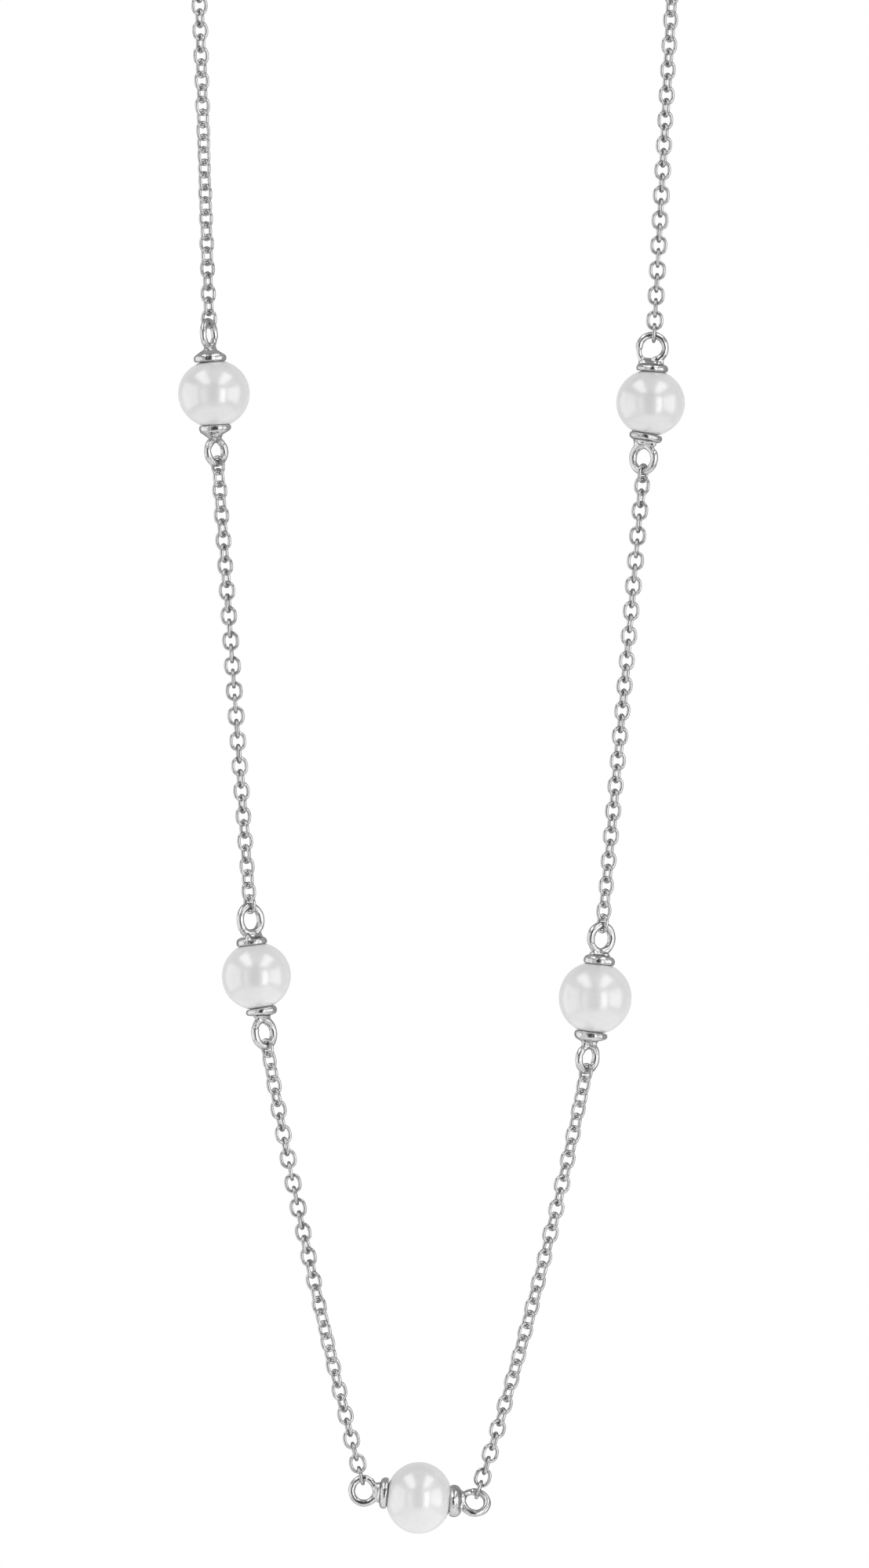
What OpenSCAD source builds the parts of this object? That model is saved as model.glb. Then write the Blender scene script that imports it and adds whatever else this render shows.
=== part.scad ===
// Pearl chain necklace: five drilled pearls on a cable chain, each between two cast
// bead caps with eye rings. The loop hangs in the XZ plane and is seen from -Y. The
// spring ring clasp is on top, and the origin is at its underside, where it hangs.

/* [Pearls] */
// Diameter of the drill hole through each pearl
drill_d = 0.8; // [0.74:0.02:1.0]
// Space between a pearl and what sits on it or in it
seat_gap = 0.05; // [0.03:0.01:0.08]

/* [Bead caps] */
// Diameter of the round rim that sits on the pearl
rim_d = 2.74; // [2.5:0.02:3]
// Depth of the rim below the pearl's pole
rim_low = 0.32; // [0.2:0.02:0.36]
// Height of the rim above the pearl's pole
rim_high = 0.47; // [0.4:0.01:0.5]
// Diameter of the peg in the drill hole
peg_d = 0.7; // [0.6:0.01:0.7]
// Diameter of the eye ring, wire middle to wire middle
eye_d = 2.15; // [2.1:0.01:2.3]
// Diameter of the eye ring's wire
eye_wire = 0.62; // [0.5:0.01:0.62]
// Width of the solder at the foot of the eye ring
solder_d = 2.0; // [1.6:0.05:2.2]
// Width of the solder where it meets the eye ring's wire
solder_neck_d = 0.86; // [0.7:0.02:1]

/* [Chain] */
// Length of one link over its wire
link_len = 1.62; // [1.62:0.01:1.64]
// Width of one link over its wire
link_w = 1.42; // [1.38:0.01:1.5]
// Diameter of the link's wire
link_wire = 0.22; // [0.2:0.005:0.22]
// Distance from one link to the next, to which each run is fitted
link_pitch = 1.055; // [1.05:0.005:1.055]
// Links modelled one by one above each upper pearl
upper_links = 30; // [20:1:34]

/* [Loop] */
// Radius of the arch that closes the loop on top
arch_r = 22.4; // [22:0.1:23]
// Distance between the rings along the hidden chain
tube_step = 3.5; // [3:0.1:4.2]

/* [Clasp] */
// Diameter of the spring ring, wire middle to wire middle
clasp_d = 4.7; // [4.6:0.1:5]
// Diameter of the spring ring's tube
clasp_wire = 1.1; // [0.9:0.05:1.1]
// Diameter of the clasp's small eye, wire middle to wire middle
clasp_eye_d = 1.7; // [1.7:0.05:1.9]
// Diameter of the small eye's wire
clasp_eye_wire = 0.6; // [0.5:0.05:0.6]
// Diameter of the end ring, wire middle to wire middle
end_ring_d = 2.5; // [2.5:0.05:2.8]
// Diameter of the end ring's wire
end_ring_wire = 0.5; // [0.4:0.05:0.5]

/* [Hidden] */

$fn = 64;

// The pearls, hung on the loop. `x` and `z` are the middle of the drill hole, which leans
// from the vertical by `lean` degrees, and the bottom pearl's lies nearly level. `off` is
// how far the hole misses the pearl's middle. A pearl's first end is the upper one, or the
// left one on the bottom pearl. For each end, `rise` is how far the eye ring's middle
// stands off the pearl's pole, and `turn` is how the ring is turned round the drill hole.
//               x        z      across along lean    off  rise  turn rise  turn
UPPER_LEFT =  [-19.35, -113.75, 6.03, 5.73,  -3.5,  0.05, 2.20,  67, 1.92,  51];
UPPER_RIGHT = [ 17.29, -114.50, 5.75, 5.60,   4.7,  0.15, 1.83,   0, 1.91, -30];
LOWER_LEFT =  [-15.60, -162.75, 5.80, 5.70,  -7.0, -0.15, 1.97,  39, 2.03,  44];
LOWER_RIGHT = [ 12.73, -164.60, 6.20, 6.10,   6.3,  0.04, 1.99,  35, 2.06,  49];
BOTTOM =      [ -2.05, -206.55, 6.03, 5.61, -83.8, -0.15, 1.82,   0, 1.90,  32];

FIRST = 1;
SECOND = -1;

function across(p) = p[2];
function along(p) = p[3];
function lean(p) = p[4];
function off(p) = p[5];
function rise(p, end) = end == FIRST ? p[6] : p[8];
function turn(p, end) = end == FIRST ? p[7] : p[9];

// The chain runs between two pearls: how far the middle of the run bows out to +X, and
// about how many degrees the links turn round the run, beside the quarter turn from
// each link to the next.
MID_LEFT_BOW = 0;
MID_LEFT_TWIST = -95;
LOW_LEFT_BOW = -0.4;
LOW_LEFT_TWIST = -134;
LOW_RIGHT_BOW = 0.55;
LOW_RIGHT_TWIST = 131;
MID_RIGHT_BOW = 0.05;
MID_RIGHT_TWIST = 65;
UPPER_LEFT_TWIST = -54;
UPPER_RIGHT_TWIST = 100;

// How deep soldered shapes reach into each other
root = 0.1;
// Distance from the pearl's middle to the end of each peg
peg_end = 0.15;
// Clear space between a link and what it hangs in
link_gap = 0.1;
link_half = (link_len - link_wire) / 2;
link_bend_r = (link_w - link_wire) / 2;
clasp_z = (clasp_d + clasp_wire) / 2;
// Clear space at each end of the hidden chain
end_gap = 0.15;
clasp_eye_x = -(clasp_d + clasp_wire + clasp_eye_d - clasp_eye_wire) / 2;
left_end_x = clasp_eye_x - (clasp_eye_d + clasp_eye_wire) / 2 - end_gap;
end_ring_x = (clasp_d - clasp_wire + end_ring_d - end_ring_wire) / 2 - link_gap;
right_end_x = end_ring_x + (end_ring_d + end_ring_wire) / 2 + end_gap;
arch_z = clasp_z - sqrt(pow(arch_r, 2) - pow(right_end_x, 2));

function unit(v) = v / norm(v);
function axis(p) = [sin(lean(p)), 0, cos(lean(p))];

// Eye rings: the middle, the way out of the pearl, and the way across the ring
function eye_middle(p, end) = [p[0], 0, p[1]] + end * axis(p) * (along(p) / 2 + rise(p, end));
function eye_side(p, end) =
    cos(turn(p, end)) * [cos(lean(p)), 0, -sin(lean(p))] + [0, sin(turn(p, end)), 0];
function eye_normal(p, end) = cross(end * axis(p), eye_side(p, end));

// Middle of the end wire of the link that hangs in an eye ring and is pulled to `target`.
// It lies straight behind the place on the ring's wire that is nearest to the pull.
function hook(p, end, target) =
    let (
        pull = unit(target - eye_middle(p, end)),
        out = end * axis(p),
        side = eye_side(p, end),
        way = unit((pull * out) * out + (pull * side) * side)
    )
    eye_middle(p, end) + way * eye_d / 2 - pull * ((eye_wire + link_wire) / 2 + link_gap);

// Angle of a direction round a run that goes `way`, from the XZ plane
function angle_round(v, way) =
    let (level = unit(cross([0, 1, 0], way)))
    atan2(v * cross(way, level), v * level);
function half_turn(a) = a - 180 * round(a / 180);

// A link whose middle is at `place`. It lies along `way`, and `angle` turns its width
// round that from the XZ plane.
module place_link(place, way, angle) {
    level = unit(cross([0, 1, 0], way));
    wide = cos(angle) * level + sin(angle) * cross(way, level);
    thick = cross(way, wide);
    multmatrix([
        [wide[0], thick[0], way[0], place[0]],
        [wide[1], thick[1], way[1], place[1]],
        [wide[2], thick[2], way[2], place[2]],
        [0, 0, 0, 1]
    ])
        link();
}

module link() {
    straight = 2 * (link_half - link_bend_r);
    for (flip = [0, 180])
        rotate([0, flip, 0])
            translate([0, 0, straight / 2])
                rotate([90, 0, 0])
                    rotate_extrude(angle = 180)
                        translate([link_bend_r, 0])
                            circle(d = link_wire);
    for (side = [-1, 1])
        translate([side * link_bend_r, 0, 0])
            cylinder(h = straight, d = link_wire, center = true);
}

// A run of links from one eye ring to another. It bows a little, because it carries
// its own weight, and its links are spread evenly.
module chain_between(p, p_end, q, q_end, bow, twist) {
    a = hook(p, p_end, eye_middle(q, q_end));
    b = hook(q, q_end, eye_middle(p, p_end));
    span = norm(b - a) - 2 * link_half;
    steps = round(span / link_pitch);
    bow_way = unit(cross([0, 1, 0], b - a)) * sign((b - a)[2]);
    first = angle_round(eye_normal(p, p_end), unit(b - a));
    last = angle_round(eye_normal(q, q_end), unit(b - a));
    rest = half_turn(last - first - 90 * steps);
    turned = rest + 180 * round((twist - rest) / 180);
    color("silver")
        for (k = [0:steps]) {
            t = (link_half + span * k / steps) / norm(b - a);
            place = a + (b - a) * t + bow_way * bow * 4 * t * (1 - t);
            way = unit(b - a + bow_way * bow * 4 * (1 - 2 * t));
            place_link(place, way, first + 90 * k + turned * k / steps);
        }
}

// The chain above an upper pearl goes straight up to the arch, which it meets without a
// kink, and follows it to the clasp. `side` is -1 on the left and 1 on the right.
function arch_lean(from) =
    let (
        reach = norm([from[0], from[2] - arch_z]),
        off = atan2(abs(from[0]), arch_z - from[2])
    )
    asin(arch_r / reach) - off;
function arch_foot(from, side) =
    let (a = arch_lean(from))
    [side * arch_r * cos(a), 0, arch_z - arch_r * sin(a)];
function upper_point(from, side, s) =
    let (
        foot = arch_foot(from, side),
        rise_len = norm(foot - from),
        a = (s - rise_len) / arch_r * 180 / PI - arch_lean(from)
    )
    s < rise_len ? from + (foot - from) * s / rise_len
                 : [side * arch_r * cos(a), 0, arch_z + arch_r * sin(a)];
// Length from the upper pearl's ring to the place on the arch above `x`
function upper_length(from, side, x) =
    norm(arch_foot(from, side) - from)
    + arch_r * PI / 180 * (arch_lean(from) + acos(abs(x) / arch_r));

function upper_start(p, side) = hook(p, FIRST, [side * arch_r, 0, arch_z]);

// `ease` above 1 leaves the first links unturned and turns the later ones more
module upper_chain(p, side, twist, ease) {
    from = upper_start(p, side);
    way = unit(arch_foot(from, side) - from);
    first = angle_round(eye_normal(p, FIRST), way);
    color("silver")
        for (k = [0:upper_links - 1])
            place_link(
                upper_point(from, side, link_half + link_pitch * k),
                way,
                first + 90 * k + twist * pow(k / (upper_links - 1), ease)
            );
}

// The hidden chain, as a tube with the chain's outer size from the last link to the clasp
module back_chain(p, side, end_x) {
    sides = 8;
    nudge = 0.01;
    from = upper_start(p, side);
    start = link_len + link_pitch * (upper_links - 1) - link_wire / 2 + end_gap;
    length = upper_length(from, side, end_x) - start;
    steps = ceil(length / tube_step);
    points = [
        for (i = [0:steps])
            let (
                s = start + length * i / steps,
                place = upper_point(from, side, s),
                way = unit(upper_point(from, side, s + nudge) - upper_point(from, side, s - nudge)),
                level = unit(cross([0, 1, 0], way))
            )
            for (j = [0:sides - 1])
                place + link_w / 2 * (cos(j * 360 / sides) * level + sin(j * 360 / sides) * [0, 1, 0])
    ];
    walls = [
        for (i = [0:steps - 1])
            for (j = [0:sides - 1])
                let (next = (j + 1) % sides)
                [i * sides + j, (i + 1) * sides + j, (i + 1) * sides + next, i * sides + next]
    ];
    bottom = [for (j = [0:sides - 1]) j];
    top = [for (j = [sides - 1:-1:0]) steps * sides + j];
    color("silver")
        polyhedron(points, concat(walls, [bottom, top]));
}

// The pearl is a little flattened along its drill hole
module pearl(p) {
    color("whitesmoke")
        translate([p[0], 0, p[1]])
            rotate([0, lean(p), 0])
                difference() {
                    translate([off(p), 0, 0])
                        scale([1, 1, along(p) / across(p)])
                            sphere(d = across(p));
                    cylinder(h = 2 * along(p), d = drill_d, center = true);
                }
}

// Rim, solder, eye ring and peg of one cap, soldered into one piece. Its own Z axis
// goes out of the pearl, with zero at the pearl's middle.
module bead_cap(p, end) {
    pole = along(p) / 2;
    seat_r = pow(across(p), 2) / (2 * along(p));
    edge_r = (rim_low + rim_high) / 2;
    eye_z = pole + rise(p, end);
    solder_foot = pole + rim_high - root;
    solder_top = eye_z - eye_d / 2 + root;
    color("lightgray")
        translate([p[0], 0, p[1]])
            rotate([0, lean(p), 0])
                rotate([0, end == FIRST ? 0 : 180, 0]) {
                    difference() {
                        rotate_extrude()
                            translate([0, pole]) {
                                translate([0, -rim_low])
                                    square([rim_d / 2 - edge_r, 2 * edge_r]);
                                translate([rim_d / 2 - edge_r, edge_r - rim_low])
                                    circle(r = edge_r);
                            }
                        translate([end * off(p), 0, pole - seat_r])
                            sphere(r = seat_r + seat_gap);
                    }
                    translate([0, 0, solder_foot])
                        cylinder(h = solder_top - solder_foot, d1 = solder_d, d2 = solder_neck_d);
                    translate([0, 0, peg_end])
                        cylinder(h = pole + root - peg_end, d = peg_d);
                    translate([0, 0, eye_z])
                        rotate([0, 0, end * turn(p, end)])
                            rotate([90, 0, 0])
                                rotate_extrude()
                                    translate([eye_d / 2, 0])
                                        circle(d = eye_wire);
                }
}

module ring(d, wire) {
    rotate_extrude()
        translate([d / 2, 0])
            circle(d = wire);
}

// Spring ring with the small eye that is soldered to its side
module clasp() {
    color("silver") {
        translate([0, 0, clasp_z])
            rotate([90, 0, 0])
                ring(clasp_d, clasp_wire);
        translate([clasp_eye_x, 0, clasp_z])
            rotate([90, 0, 0])
                ring(clasp_eye_d, clasp_eye_wire);
    }
}

// Ring at the other end of the chain, which the clasp holds
module end_ring() {
    color("silver")
        translate([end_ring_x, 0, clasp_z])
            ring(end_ring_d, end_ring_wire);
}

pearl(UPPER_LEFT);  // pearl_upper_left
pearl(UPPER_RIGHT);  // pearl_upper_right
pearl(LOWER_LEFT);  // pearl_lower_left
pearl(LOWER_RIGHT);  // pearl_lower_right
pearl(BOTTOM);  // pearl_bottom
bead_cap(UPPER_LEFT, FIRST);  // cap_upper_left_top
bead_cap(UPPER_LEFT, SECOND);  // cap_upper_left_base
bead_cap(UPPER_RIGHT, FIRST);  // cap_upper_right_top
bead_cap(UPPER_RIGHT, SECOND);  // cap_upper_right_base
bead_cap(LOWER_LEFT, FIRST);  // cap_lower_left_top
bead_cap(LOWER_LEFT, SECOND);  // cap_lower_left_base
bead_cap(LOWER_RIGHT, FIRST);  // cap_lower_right_top
bead_cap(LOWER_RIGHT, SECOND);  // cap_lower_right_base
bead_cap(BOTTOM, FIRST);  // cap_bottom_left
bead_cap(BOTTOM, SECOND);  // cap_bottom_right
upper_chain(UPPER_LEFT, -1, UPPER_LEFT_TWIST, 1);  // chain_upper_left
chain_between(UPPER_LEFT, SECOND, LOWER_LEFT, FIRST, MID_LEFT_BOW, MID_LEFT_TWIST);  // chain_mid_left
chain_between(LOWER_LEFT, SECOND, BOTTOM, FIRST, LOW_LEFT_BOW, LOW_LEFT_TWIST);  // chain_low_left
chain_between(LOWER_RIGHT, SECOND, BOTTOM, SECOND, LOW_RIGHT_BOW, LOW_RIGHT_TWIST);  // chain_low_right
chain_between(UPPER_RIGHT, SECOND, LOWER_RIGHT, FIRST, MID_RIGHT_BOW, MID_RIGHT_TWIST);  // chain_mid_right
upper_chain(UPPER_RIGHT, 1, UPPER_RIGHT_TWIST, 2);  // chain_upper_right
back_chain(UPPER_LEFT, -1, left_end_x);  // back_chain_left
back_chain(UPPER_RIGHT, 1, right_end_x);  // back_chain_right
clasp();
end_ring();
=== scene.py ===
"""Pearl chain necklace: five round pearls on a fine cable chain, closed by a spring ring.

The frame's solids give every place. Here the links get their full wire and run on over the
top to the clasp, the caps get their cast rims and soldered eye rings, and the pearls get
their soft, slightly uneven form. The object's lengths are in millimetres, and MM turns them
into metres. The studio's lengths are in metres.
"""

import math
from collections import namedtuple

import bpy
import numpy as np
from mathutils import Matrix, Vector


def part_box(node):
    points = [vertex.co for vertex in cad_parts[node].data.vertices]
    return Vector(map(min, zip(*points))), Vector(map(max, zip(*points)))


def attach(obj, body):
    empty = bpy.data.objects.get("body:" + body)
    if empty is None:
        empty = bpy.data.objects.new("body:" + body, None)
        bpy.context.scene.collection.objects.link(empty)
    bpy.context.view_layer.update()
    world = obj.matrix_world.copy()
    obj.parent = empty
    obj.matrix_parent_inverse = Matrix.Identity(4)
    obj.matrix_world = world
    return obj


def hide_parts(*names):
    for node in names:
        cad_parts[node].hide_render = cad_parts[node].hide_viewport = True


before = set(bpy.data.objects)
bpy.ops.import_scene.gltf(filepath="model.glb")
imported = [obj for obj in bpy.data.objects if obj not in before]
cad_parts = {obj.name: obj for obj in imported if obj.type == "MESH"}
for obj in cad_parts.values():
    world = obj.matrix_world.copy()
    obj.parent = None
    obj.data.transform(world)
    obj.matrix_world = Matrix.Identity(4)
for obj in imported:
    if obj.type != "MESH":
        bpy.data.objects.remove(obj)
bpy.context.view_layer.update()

MM = 0.001
BODY = "root"

# Camera. The photo's frame is 2000 pixels high, and a pixel is 0.066 mm at the necklace.
FRAME_HIGH = 2000 * 0.066 * MM
VIEW_CENTRE = (-0.746 * MM, 0.0, -146.6 * MM)
CAMERA_FAR = 1.6
SENSOR = 36.0

# Panels of soft light: the place counts from the middle of the view, `faces` is the way that
# the panel shines, and radiance is its brightness
Softbox = namedtuple("Softbox", "name place faces size radiance")
SOFTBOXES = [
    Softbox("ceiling_left", (-0.98, -0.87, 1.5), (0, 0, -1), (0.95, 2.25), 1.3),
    Softbox("ceiling_right", (1.0, -1.02, 1.5), (0, 0, -1), (0.9, 2.05), 1.3),
    Softbox("wall_left", (-1.5, -0.05, -0.12), (1, 0, 0), (2.1, 1.7), 0.7),
    Softbox("wall_right", (1.5, -0.72, -0.05), (-1, 0, 0), (1.5, 1.3), 0.95),
    Softbox("strip_right", (0.73, -1.31, -0.2), (-0.49, 0.87, 0), (0.48, 1.4), 1.8),
    Softbox("table_glow", (0, 0, -0.26), (0, 0, 1), (0.6, 0.6), 0.25),
    Softbox("strip_left", (-0.85, -1.23, -0.2), (0.57, 0.82, 0), (0.45, 1.4), 0.5),
]

# The room that the silver mirrors: its brightness by bearing in degrees, from the lens towards
# +X, and the brightness overhead, which comes in between two values of a direction's Z
ROOM_TONES = [
    (-180, 0.74), (-140, 0.66), (-112, 0.42), (-22, 0.42), (-12, 0.03),
    (8, 0.03), (16, 0.42), (112, 0.42), (140, 0.66), (180, 0.74),
]
OVERHEAD_TONE = 0.40
OVERHEAD_FROM = 0.60
OVERHEAD_FULL = 0.85

# Floor: half its width, its height, its tone, and how far from the origin it starts to fade,
# and is gone
FLOOR_HALF = 0.7
FLOOR_Z = -0.42
FLOOR_TONE = 0.86
FLOOR_FADES = 0.45
FLOOR_GONE = 0.65

# The noise values between which a roughness goes over its range, and a tone over its colours
RANGE_FROM = 0.3
RANGE_TO = 0.7
TINT_FROM = 0.35
TINT_TO = 0.65

# Nacre: its two tones, how much its roughness drifts to each side of the pearl's blur, its
# clouds to a metre, its rings of growth to a metre across the drill hole and along it, and
# how high they stand
NACRE_DIM = (0.80, 0.80, 0.795, 1)
NACRE_BRIGHT = (0.85, 0.85, 0.85, 1)
BLUR_DRIFT = 0.02
CLOUDS = 450
RINGS_ACROSS = 120
RINGS_ALONG = 1500
RING_HIGH = 0.004

# Silvers: the two greys of the tone, how bright the metal stays where it is seen almost along
# its surface, the least and most roughness, the dents to a metre, and how deep the dents and
# the fine grain are. The patches of tone and the grain are as many to a metre on each.
Silver = namedtuple("Silver", "name dim bright edge smooth rough dents dent_deep grain_deep")
CAST_SILVER = Silver("cast_silver", 0.54, 0.68, 0.4, 0.17, 0.26, 3000, 0.009, 0.0006)
WIRE_SILVER = Silver("wire_silver", 0.49, 0.61, 0.1, 0.17, 0.25, 1800, 0.008, 0.0004)
CLASP_SILVER = Silver("clasp_silver", 0.46, 0.56, 0.2, 0.16, 0.26, 900, 0.01, 0.0006)
SILVER_PATCHES = 1300
SILVER_GRAIN = 16000

# Pearls, in millimetres and degrees: the middle of the drill hole, the width across the hole
# and the length along it, the hole's lean, and how far it misses the pearl's middle. For each
# end, how far the eye ring's middle stands off the pearl's pole, and the ring's turn. End 1 is
# the upper one, or the bottom pearl's left one. Blur is the roughness of the nacre.
Pearl = namedtuple("Pearl", "node x z across along lean off rise_1 turn_1 rise_2 turn_2 blur seed")
PEARLS = {
    "upper_left": Pearl("pearl_upper_left", -19.35, -113.75, 6.03, 5.73, -3.5, 0.05,
        2.20, 67, 1.92, 51, 0.23, 1),
    "upper_right": Pearl("pearl_upper_right", 17.29, -114.50, 5.75, 5.60, 4.7, 0.15,
        1.83, 0, 1.91, -30, 0.23, 2),
    "lower_left": Pearl("pearl_lower_left", -15.60, -162.75, 5.80, 5.70, -7.0, -0.15,
        1.97, 39, 2.03, 44, 0.23, 3),
    "lower_right": Pearl("pearl_lower_right", 12.73, -164.60, 6.12, 6.10, 6.3, 0.04,
        1.99, 35, 2.06, 49, 0.25, 4),
    "bottom": Pearl("pearl_bottom", -2.05, -206.55, 6.03, 5.61, -83.8, -0.15,
        1.82, 0, 1.90, 32, 0.23, 5),
}
# The drill hole's radius
DRILL_R = 0.4

# The pearl's net: its sides round the hole, and its rows over the skin and down the hole
PEARL_SIDES = 128
PEARL_ROWS = 96
DRILL_ROWS = 6

# Soft noise: its number of sine waves, and the least and most of each to a length of `scale`
SOFT_WAVES = 6
SOFT_RATE_LEAST = 0.6
SOFT_RATE_MOST = 1.6

# The waves of the pearl's skin: their height and length, and the share and length of the finer
# ones, whose seed counts on from the pearl's. They come in between two distances from the
# hole, as shares of the pearl's half width, and leave the skin under the caps plain.
PEARL_WAVE = 0.03
PEARL_WAVE_LONG = 7.0
PEARL_RIPPLE = 0.35
PEARL_RIPPLE_LONG = 2.6
PEARL_RIPPLE_SEED = 50
PEARL_WAVE_FROM = 0.45
PEARL_WAVE_FULL = 0.8

# Caps, in millimetres and degrees, seen with the eye ring up. The rim: its radius, how far its
# middle stands to the right, how far it reaches below and above the pearl's pole, the slope of
# its top, its tilt, and the share by which its thickest side is thicker. The solder: its half
# width and top, and how hollow the top is. The ring: half its width, its shift to the right,
# the wire's radius, where its foot is, and how square (under 1) or pointed (over 1) its left
# and right legs are. Its closed end is at the angle seam, and from there down to the foot the
# wire is step times as thick.
Cap = namedtuple(
    "Cap",
    "node pearl end rim_r rim_x low high slope tilt uneven wide top hollow"
    " ring_r ring_x wire foot left right seam step seed",
)
CAPS = [
    Cap("cap_upper_left_top", "upper_left", 1, 1.38, -0.09, 0.27, 0.49, 31, 0, 0.20, 0.62, 1.50, 0.05,
        1.18, -0.11, 0.285, 1.00, 1.3, 1.2, 110, 0.85, 11),
    Cap("cap_upper_left_base", "upper_left", -1, 1.34, 0.03, 0.38, 0.43, 33, 0, 0.20, 0.66, 1.02, 0.05,
        1.12, 0.07, 0.310, 0.92, 1.6, 1.5, 240, 0.95, 12),
    Cap("cap_upper_right_top", "upper_right", 1, 1.33, 0.04, 0.27, 0.43, 3, 0, 0.08, 1.06, 0.88, 0.16,
        1.10, -0.09, 0.300, 0.74, 0.4, 1.0, 263, 0.70, 13),
    Cap("cap_upper_right_base", "upper_right", -1, 1.40, 0.02, 0.26, 0.42, 8, -6, 0.16, 1.04, 0.88, 0.03,
        1.03, 0.05, 0.320, 0.84, 1.2, 0.8, 235, 0.90, 14),
    Cap("cap_lower_left_top", "lower_left", 1, 1.31, -0.18, 0.38, 0.42, 10, 0, 0.16, 0.90, 0.84, 0.14,
        1.09, -0.05, 0.320, 0.78, 0.6, 1.1, 230, 1.05, 15),
    Cap("cap_lower_left_base", "lower_left", -1, 1.33, 0.07, 0.22, 0.46, 6, 3, 0.20, 0.78, 0.92, 0.06,
        1.06, 0.06, 0.320, 0.86, 1.2, 0.9, 120, 0.92, 16),
    Cap("cap_lower_right_top", "lower_right", 1, 1.33, 0.06, 0.38, 0.52, 6, 0, 0.08, 0.88, 0.90, 0.08,
        1.07, 0.00, 0.330, 0.82, 1.3, 1.0, 245, 0.88, 17),
    Cap("cap_lower_right_base", "lower_right", -1, 1.39, -0.03, 0.24, 0.46, 20, -2, 0.32, 0.80, 1.05,
        0.12, 1.08, 0.05, 0.315, 1.00, 0.7, 1.4, 130, 0.90, 18),
    Cap("cap_bottom_left", "bottom", 1, 1.31, -0.06, 0.27, 0.48, 5, 0, 0.08, 0.78, 1.00, 0.05,
        1.05, -0.04, 0.290, 0.84, 0.9, 1.5, 100, 0.88, 19),
    Cap("cap_bottom_right", "bottom", -1, 1.35, 0.10, 0.45, 0.78, 8, 4, 0.12, 0.90, 1.00, 0.06,
        1.03, 0.03, 0.305, 0.90, 0.6, 1.1, 250, 0.85, 20),
]
# The gap between a rim's seat and its pearl
SEAT_GAP = 0.05

# Drops of solder that stand out on a cap, seen with the eye ring up: the middle, to the right,
# to the back and up from the pearl's pole, and half the width, depth and height
DROPS = {
    "cap_upper_left_top": [
        (0.28, -0.40, 1.56, 0.26, 0.26, 0.28),
        (-0.12, -0.78, 0.58, 0.36, 0.30, 0.20),
    ],
    "cap_upper_left_base": [(0.10, -0.60, 0.60, 0.44, 0.30, 0.24)],
    "cap_upper_right_top": [
        (-1.12, -0.10, 1.74, 0.17, 0.24, 0.15),
        (0.42, -0.14, 0.58, 0.40, 0.40, 0.24),
    ],
    "cap_upper_right_base": [
        (-0.42, -0.16, 0.66, 0.50, 0.36, 0.28),
        (0.28, -0.18, 0.58, 0.40, 0.36, 0.24),
    ],
    "cap_lower_left_top": [(-0.42, -0.84, 0.36, 0.26, 0.48, 0.46)],
    "cap_lower_left_base": [(0.30, -0.40, 0.62, 0.40, 0.32, 0.22)],
    "cap_lower_right_top": [
        (-0.44, -0.26, 0.62, 0.40, 0.34, 0.26),
        (0.44, -0.16, 0.58, 0.46, 0.36, 0.26),
    ],
    "cap_lower_right_base": [(-0.26, -0.40, 0.80, 0.38, 0.32, 0.22)],
    "cap_bottom_left": [(0.10, -0.14, 0.70, 0.56, 0.36, 0.28)],
    "cap_bottom_right": [(-0.12, -0.14, 0.88, 0.56, 0.36, 0.26)],
}
# A drop's net, and how far from its poles the net ends, in radians
DROP_SIDES = 24
DROP_ROWS = 16
DROP_TIP = 0.02

# The rim's net: its sides round the hole, its steps over the rounded edge, and those over the
# seat and the top. The edge's arc starts at an angle from level, in degrees. Two low waves,
# two and five to the turn, keep the rim from a true circle.
RIM_SIDES = 240
RIM_EDGE_STEPS = 24
RIM_FLAT_STEPS = 12
RIM_EDGE_START = -38
RIM_OVAL = 0.014
RIM_LUMPS = 0.010

# Solder: half its depth, its net, how much of the way to the rim's edge its foot spreads and
# the power by which that fades, how far inside the rim's edge it stays, how deep its foot is
# sunk in the rim, and the power that rounds its foot and its top
SOLDER_DEEP = 0.42
SOLDER_SIDES = 128
SOLDER_ROWS = 24
SOLDER_SPREAD = 0.6
SOLDER_SPREAD_POWER = 2.4
SOLDER_INSIDE = 0.2
SOLDER_SUNK = 0.12
SOLDER_ROUND_POWER = 10

# Peg: its radius, where its lower end is from the pearl's middle, how far it stands up into
# the rim, its net, and the power that rounds its ends
PEG_R = 0.35
PEG_END = 0.15
PEG_IN_RIM = 0.1
PEG_SIDES = 32
PEG_ROWS = 12
PEG_ROUND_POWER = 40

# Eye ring: the radius inside it, its net, the wire's waves, three and seven to the turn, and
# how much thicker it gets towards the foot, as shares of the wire. The wire's step comes in
# over one angle at the seam, and goes over another at the foot. The notch at the seam has a
# depth, as a share of the wire, and a half width. Angles are in radians.
EYE_INSIDE_R = 0.765
RING_SIDES = 60
RING_STEPS = 240
RING_WAVE = 0.03
RING_RIPPLE = 0.02
RING_FOOT_MORE = 0.06
STEP_AT_SEAM = 0.08
STEP_AT_FOOT = 0.35
NOTCH_DEEP = 0.16
NOTCH_WIDE = 0.05
# The least cosine by which a turned ring's shift, as it is seen, is divided
RING_LEAST_COS = 0.6

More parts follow.
